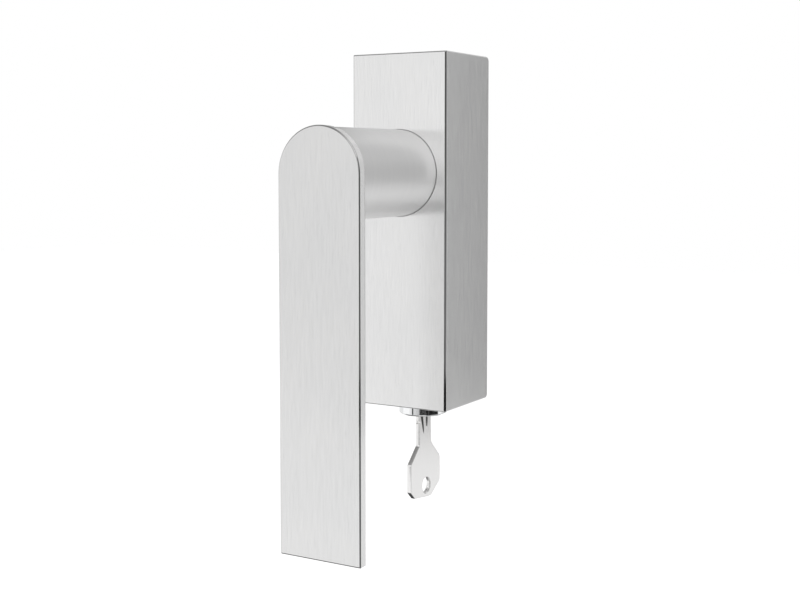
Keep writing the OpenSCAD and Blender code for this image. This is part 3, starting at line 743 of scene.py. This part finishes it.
def fixing_screws():
    """Two M5 screws: a round head, plain neck and thread each, and a cross recess cut in the head."""
    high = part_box("fixing_screws")[1]
    head_r, screw_r, neck = high.x, 2.5 * MM, 2.24 * MM
    head_back, head_front = -5.0 * MM, -7.6 * MM
    slot_half_length, slot_half_width, slot_end = 2.5 * MM, 0.5 * MM, head_back - 1 * MM
    around = 48
    pieces = Form()
    offset = high.z - head_r
    for z in (-offset, offset):
        shaft = thread(screw_r, 0.8 * MM, 0.46 * MM, high.y, z, around)
        head = opened(
            [(0, head_front), (head_r, head_front), (head_r, head_back), (neck, head_back), (neck, 0.0)],
            np.array([1.4, 0.2, 0.1]) * MM, 6, 0.3)
        body = turned(head, around, "y", (0, 0, z))
        pieces.skin(body).skin(np.stack([body[-1], shaft[0]])).skin(shaft).cap(shaft[-1])
    piece = pieces.piece("threaded_screws")
    tools = []
    for z in (-offset, offset):
        for turn in (0, np.pi / 2):
            c, s = np.cos(turn), np.sin(turn)
            blank = np.array([(-1, -1), (1, -1), (1, 1), (-1, 1)]) * (slot_half_length, slot_half_width)
            spun = blank @ np.array([(c, s), (-s, c)]) + (0, z)
            rings = [in_plane(spun, y) for y in (head_front - tool_reach, slot_end)]
            tools.append(closed(rings, False))
    return fit(cut(piece, *tools), "housing", "zinc_plated_screw", "fixing_screws")


# ---- Push lock ----

def push_cylinder():
    """Barrel turned about the lock's axis, as one closed ring of rings: outside, chamfered rim, recessed seat
    of the plug's flange, bore and inner end."""
    low, high = barrel_low.z, barrel_high.z
    r, seat_r, bore_r = barrel_r, 6.3 * MM, 5.45 * MM
    rim, lip, seat = 0.4 * MM, 0.25 * MM, plug_face + 0.75 * MM
    line = rounded(
        [(r, high), (r, low + rim), (r - rim, low), (seat_r + lip, low), (seat_r, low + lip),
         (seat_r, seat), (bore_r, seat), (bore_r, high)],
        np.array([0.2, 0.15, 0.15, 0.08, 0.08, 0.03, 0.05, 0.1]) * MM, 5, 0.6)
    form = Form().skin(turned(line, 128, "z", (0, barrel_y, 0)), joined=True)
    return fit(form.piece("barrel"), "lock", "chrome_cylinder", "push_cylinder")


# ---- Key ----

def key_blank():
    """Outline of the key in its own plane with rounded corners; each ring is that outline moved in along its
    normals by the edge profile's inset."""
    front, rear = key_low.y, key_high.y
    tip, foot = key_high.z, key_low.z
    slope = 2 * MM
    neck_z, shoulder, corner = foot + 17.8 * MM, foot + 12.4 * MM, foot + 3.2 * MM
    line = rounded(
        [(shank_front, tip - slope), (shank_front + slope, tip), (shank_rear - slope, tip),
         (shank_rear, tip - slope), (shank_rear, neck_z + 6 * MM), (shank_rear + 0.3 * MM, neck_z),
         (rear - 0.2 * MM, shoulder - 0.2 * MM), (rear, (shoulder + corner) / 2),
         (rear - 0.2 * MM, corner + 0.4 * MM), (rear - 6.2 * MM, foot - 0.3 * MM),
         (rear - 9.0 * MM, foot - 0.1 * MM), (front + 2.7 * MM, foot + 0.9 * MM), (front, corner + 0.2 * MM),
         (front, shoulder), (shank_front, neck_z)],
        np.array([0.5, 0.5, 0.5, 0.5, 9.0, 2.5, 2.2, 6.0, 1.8, 2.0, 2.0, 0.5, 0.5, 0.7, 0.9]) * MM, 8, 0.0)
    ahead = np.roll(line, -1, 0) - np.roll(line, 1, 0)
    normal = np.stack([ahead[:, 1], -ahead[:, 0]], -1)
    normal /= np.maximum(np.linalg.norm(normal, axis=1, keepdims=True), NO_LENGTH)
    inward = np.sign(np.sum(normal * (line - line.mean(0)))) * -normal
    t, e = key_high.x, 0.12 * MM
    front_edge = [(e * (1 - np.sin(b)), t - e + e * np.cos(b)) for b in quarter(4)]
    rear_edge = [(i, -x) for i, x in front_edge[::-1]]
    profile = [(2 * e, t)] + front_edge + [(0, 0)] + rear_edge + [(2 * e, -t)]
    return closed([in_plane(line + inward * i, x, "x") for i, x in profile])


def ring_hole(y, z, radius):
    """Cutter along X whose ends flare, so that the hole's edges come out rounded."""
    t, lip = key_high.x, 0.5 * MM
    flare = [(radius + lip * (1 - np.cos(b)), t - lip + lip * np.sin(b)) for b in quarter(4)]
    flare += [(radius + lip, 2 * t), (0, 2 * t)]
    line = [(r, -x) for r, x in flare[::-1]] + flare
    return Form().skin(turned(line, 96, "x", (0, y, z)))


def flute(side, y_top, y_end, z_top, z_end, width, depth):
    """Milled groove with one steep and one slanting flank, which runs out below z_top: its width and depth
    shrink as the root of what is left of its length."""
    least, slant = 0.03, 0.84
    share = np.linspace(0, 1, 8)
    keep = np.r_[1.0, np.sqrt(1 - share) * (1 - least) + least]
    z = np.r_[key_high.z + tool_reach, z_top + (z_end - z_top) * share]
    y = np.r_[y_top, y_top + (y_end - y_top) * share]
    t, w, d = key_high.x, width * keep, depth * keep
    lines = [(side * 2 * t, -0.5 * w), (side * (t - d), -0.5 * w), (side * (t - d), 0.5 * w - slant * d),
             (side * t, 0.5 * w), (side * 2 * t, 0.5 * w + slant * t)]
    rings = np.stack([np.stack([np.broadcast_to(x, z.shape), y + across, z], -1) for x, across in lines], 1)
    return closed(rings, False)


def notch(y, z, radius):
    """Cutter for a half round nick across an edge of the key."""
    t = 2 * key_high.x
    return Form().skin(turned([(0, -t), (radius, -t), (radius, t), (0, t)], 24, "x", (0, y, z)))


def key():
    """The key, with its ring hole, two milled flutes on each face, a nick and the wafers' cuts."""
    piece = key_blank().piece("key_blade")
    tools = [ring_hole((key_low.y + key_high.y) / 2 + 0.4 * MM, key_low.z + 4 * MM, 2.45 * MM)]
    wafers, first_wafer, pitch = 5, 4 * MM, 2.6 * MM
    for side in (-1, 1):
        tools.append(flute(side, barrel_y - side * 2.6 * MM, barrel_y - side * 0.8 * MM, plug_face,
                           plug_face - 7.2 * MM, 2.1 * MM, 0.7 * MM))
        tools.append(flute(side, barrel_y + side * 1.1 * MM, barrel_y + side * 1.2 * MM, plug_face,
                           plug_face - 6.0 * MM, 1.8 * MM, 0.65 * MM))
    tools.append(notch(shank_front, plug_face - 3.1 * MM, 0.5 * MM))
    for number in range(wafers):
        for edge in (shank_front, shank_rear):
            tools.append(notch(edge, plug_face + first_wafer + number * pitch, 0.8 * MM))
    return fit(cut(piece, *tools), "key", "nickel_key", "key")


for make in (housing_cover, lever_blade, lever_neck, spindle, fixing_screws, push_cylinder, key):
    make()


# ---- Light and floor ----

def studio():
    """A pale studio round the handle, given by rows of levels. Each row runs round the horizon by the angle
    from the camera's side, to the right positive, and its level runs straight between its stops. A row takes
    over from those before it between two heights above the horizon. All are in degrees.

    The camera's side and the left are white and the right is grey. The far side is pale below the horizon and
    dim above it. A narrow dark gap right of the camera gives the metal its dark edge lines.
    """
    camera_side = np.radians(30.22)
    world = bpy.data.worlds.new("studio")
    bpy.context.scene.world = world
    world.use_nodes = True
    r = Recipe(world.node_tree)
    towards = r.add("TexCoord", out="Generated")

    def along(*direction):
        return r.add("VectorMath", {"operation": "DOT_PRODUCT"}, {0: towards, 1: direction}, out="Value")

    near = along(np.sin(camera_side), -np.cos(camera_side), 0)
    right = along(np.cos(camera_side), np.sin(camera_side), 0)
    height = along(0, 0, 1)
    angle = right.sum("ARCTAN2", right, near) * (180 / np.pi)
    rise = height.sum("ARCSINE", height) * (180 / np.pi)
    rows = (
        # Far below: dim, and dark behind on the left.
        (None, (
            (-180, 0.5), (-175, 0.06), (-140, 0.06), (-130, 0.25), (-95, 0.25), (-50, 0.5), (180, 0.5))),
        # Below: white, with a wide dark gap.
        ((-44, -38), (
            (-180, 1.15), (-172, 0.88), (-112, 0.88), (10, 0.95), (14, 0.03), (36, 0.03), (44, 0.65),
            (100, 0.88), (138, 0.86), (152, 1.15), (180, 1.15))),
        # Lower middle: a narrower gap, and a right side that grows pale towards the back.
        ((-24, -19), (
            (-180, 1.1), (-170, 0.78), (-135, 0.78), (-114, 0.8), (-110, 0.95), (14, 1.0), (18, 0.05),
            (30, 0.05), (38, 0.45), (75, 0.65), (136, 0.72), (148, 1.1), (180, 1.1))),
        # A little below the horizon: the gap's right half is softer, and a pale bar stands on the right.
        ((-18, -16), (
            (-180, 0.95), (-168, 0.74), (-114, 0.74), (-110, 0.95), (12, 0.95), (17, 0.03), (23, 0.03),
            (26, 0.14), (36, 0.14), (42, 0.5), (112, 0.58), (117.5, 0.90), (126, 0.94), (130, 0.6),
            (136, 0.7), (150, 0.95), (180, 0.95))),
        # A thin row that is black right across the camera's side, for the chromed collar.
        ((-12.5, -12.0), (
            (-180, 0.95), (-150, 0.95), (-146, 0.9), (-114, 0.9), (-110, 1.1), (-72, 1.1), (-66, 0.9),
            (-56.5, 0.9), (-55, 0.02), (-49, 0.02), (-47, 1.1), (-28, 1.1), (-25, 0.01), (23, 0.01),
            (26, 0.12), (29, 0.01), (75, 0.01), (78, 1.0), (96, 1.0), (104, 0.72), (117.5, 0.72),
            (120.5, 0.34), (136, 0.42), (150, 0.95), (180, 0.95))),
        # Up to the horizon: white again, with a thin pale bar on a dull right side.
        ((-10.1, -9.6), (
            (-180, 0.95), (-140, 0.95), (-135, 0.65), (-114, 0.65), (-110, 0.86), (-50, 0.86), (-30, 0.95),
            (13, 0.95), (17, 0.02), (23, 0.02), (26, 0.14), (35, 0.14), (39, 0.5), (62, 0.45), (106, 0.36),
            (111, 0.94), (117.2, 0.94), (119.4, 0.27), (138, 0.41), (146, 0.95), (180, 0.95))),
        # Above the horizon: white, but grey on the right and dim behind.
        ((3, 20), (
            (-180, 0.35), (-125, 0.35), (-108, 0.80), (-50, 0.80), (-30, 0.95), (-10, 1.0), (21, 1.0),
            (25, 0.14), (35, 0.14), (39, 0.5), (62, 0.55), (100, 0.66), (150, 0.66), (180, 0.35))),
        # High: a bright strip where the gap was, and a dark right side.
        ((27, 33), (
            (-180, 0.4), (-125, 0.35), (-90, 0.9), (0, 0.95), (22, 0.95), (27, 1.7), (36, 1.7), (41, 0.5),
            (50, 0.18), (90, 0.18), (110, 0.6), (150, 0.6), (180, 0.4))),
        # Overhead: dim, but for the strip.
        ((52, 62), (
            (-180, 0.35), (-60, 0.4), (0, 0.65), (14, 0.65), (20, 1.5), (32, 1.5), (38, 0.6), (90, 0.5),
            (180, 0.35))),
    )
    glow = None
    for heights, stops in rows:
        level = r.curve(angle, *stops)
        glow = level if glow is None else glow + r.step(rise, *heights) * (level - glow)
    camera = r.add("LightPath", out="Is Camera Ray")
    strength = camera + (1 - camera) * glow
    light = r.add("Background", None, {"Strength": strength, "Color": (1, 1, 1, 1)})
    r.add("OutputWorld", None, {"Surface": light}, out=None)


def floor_material():
    """Pale paint, with a little glow for the camera that brings it up to white."""
    made = bpy.data.materials.new("pale_floor")
    made.use_nodes = True
    r = Recipe(made.node_tree)
    paint = r.add("BsdfDiffuse", None, {"Color": (0.8, 0.8, 0.8, 1)})
    camera = r.add("LightPath", out="Is Camera Ray")
    lift = r.add("Emission", None, {"Color": (1, 1, 1, 1), "Strength": camera * 0.6})
    both = r.add("AddShader", None, {0: paint, 1: lift})
    r.add("OutputMaterial", None, {"Surface": both}, out=None)
    return made


def floor():
    """Wide floor well below the key, which gives the handle no light and isn't mirrored in it."""
    z, reach = cad_box[0].z - 0.45, 6.0
    corners = np.array([(-1, -1, 0), (1, -1, 0), (1, 1, 0), (-1, 1, 0)]) * reach + (0, 0, z)
    plane = Form().cap(corners).piece("floor")
    plane.data.materials.append(floor_material())
    plane.visible_diffuse = plane.visible_glossy = plane.visible_shadow = False


def softbox(name, place, size, power):
    """Square lamp that faces the origin and isn't mirrored in the metal."""
    lamp = bpy.data.lights.new(name, "AREA")
    lamp.shape, lamp.size, lamp.energy = "SQUARE", size, power
    box = linked(name, lamp)
    box.location = place
    box.rotation_euler = (-Vector(place)).to_track_quat("-Z", "Y").to_euler()
    box.visible_glossy = False


studio()
floor()
softbox("softbox", (-1.0, -0.9, 0.8), 0.8, 3.0)

bpy.context.scene.view_settings.view_transform = "Standard"
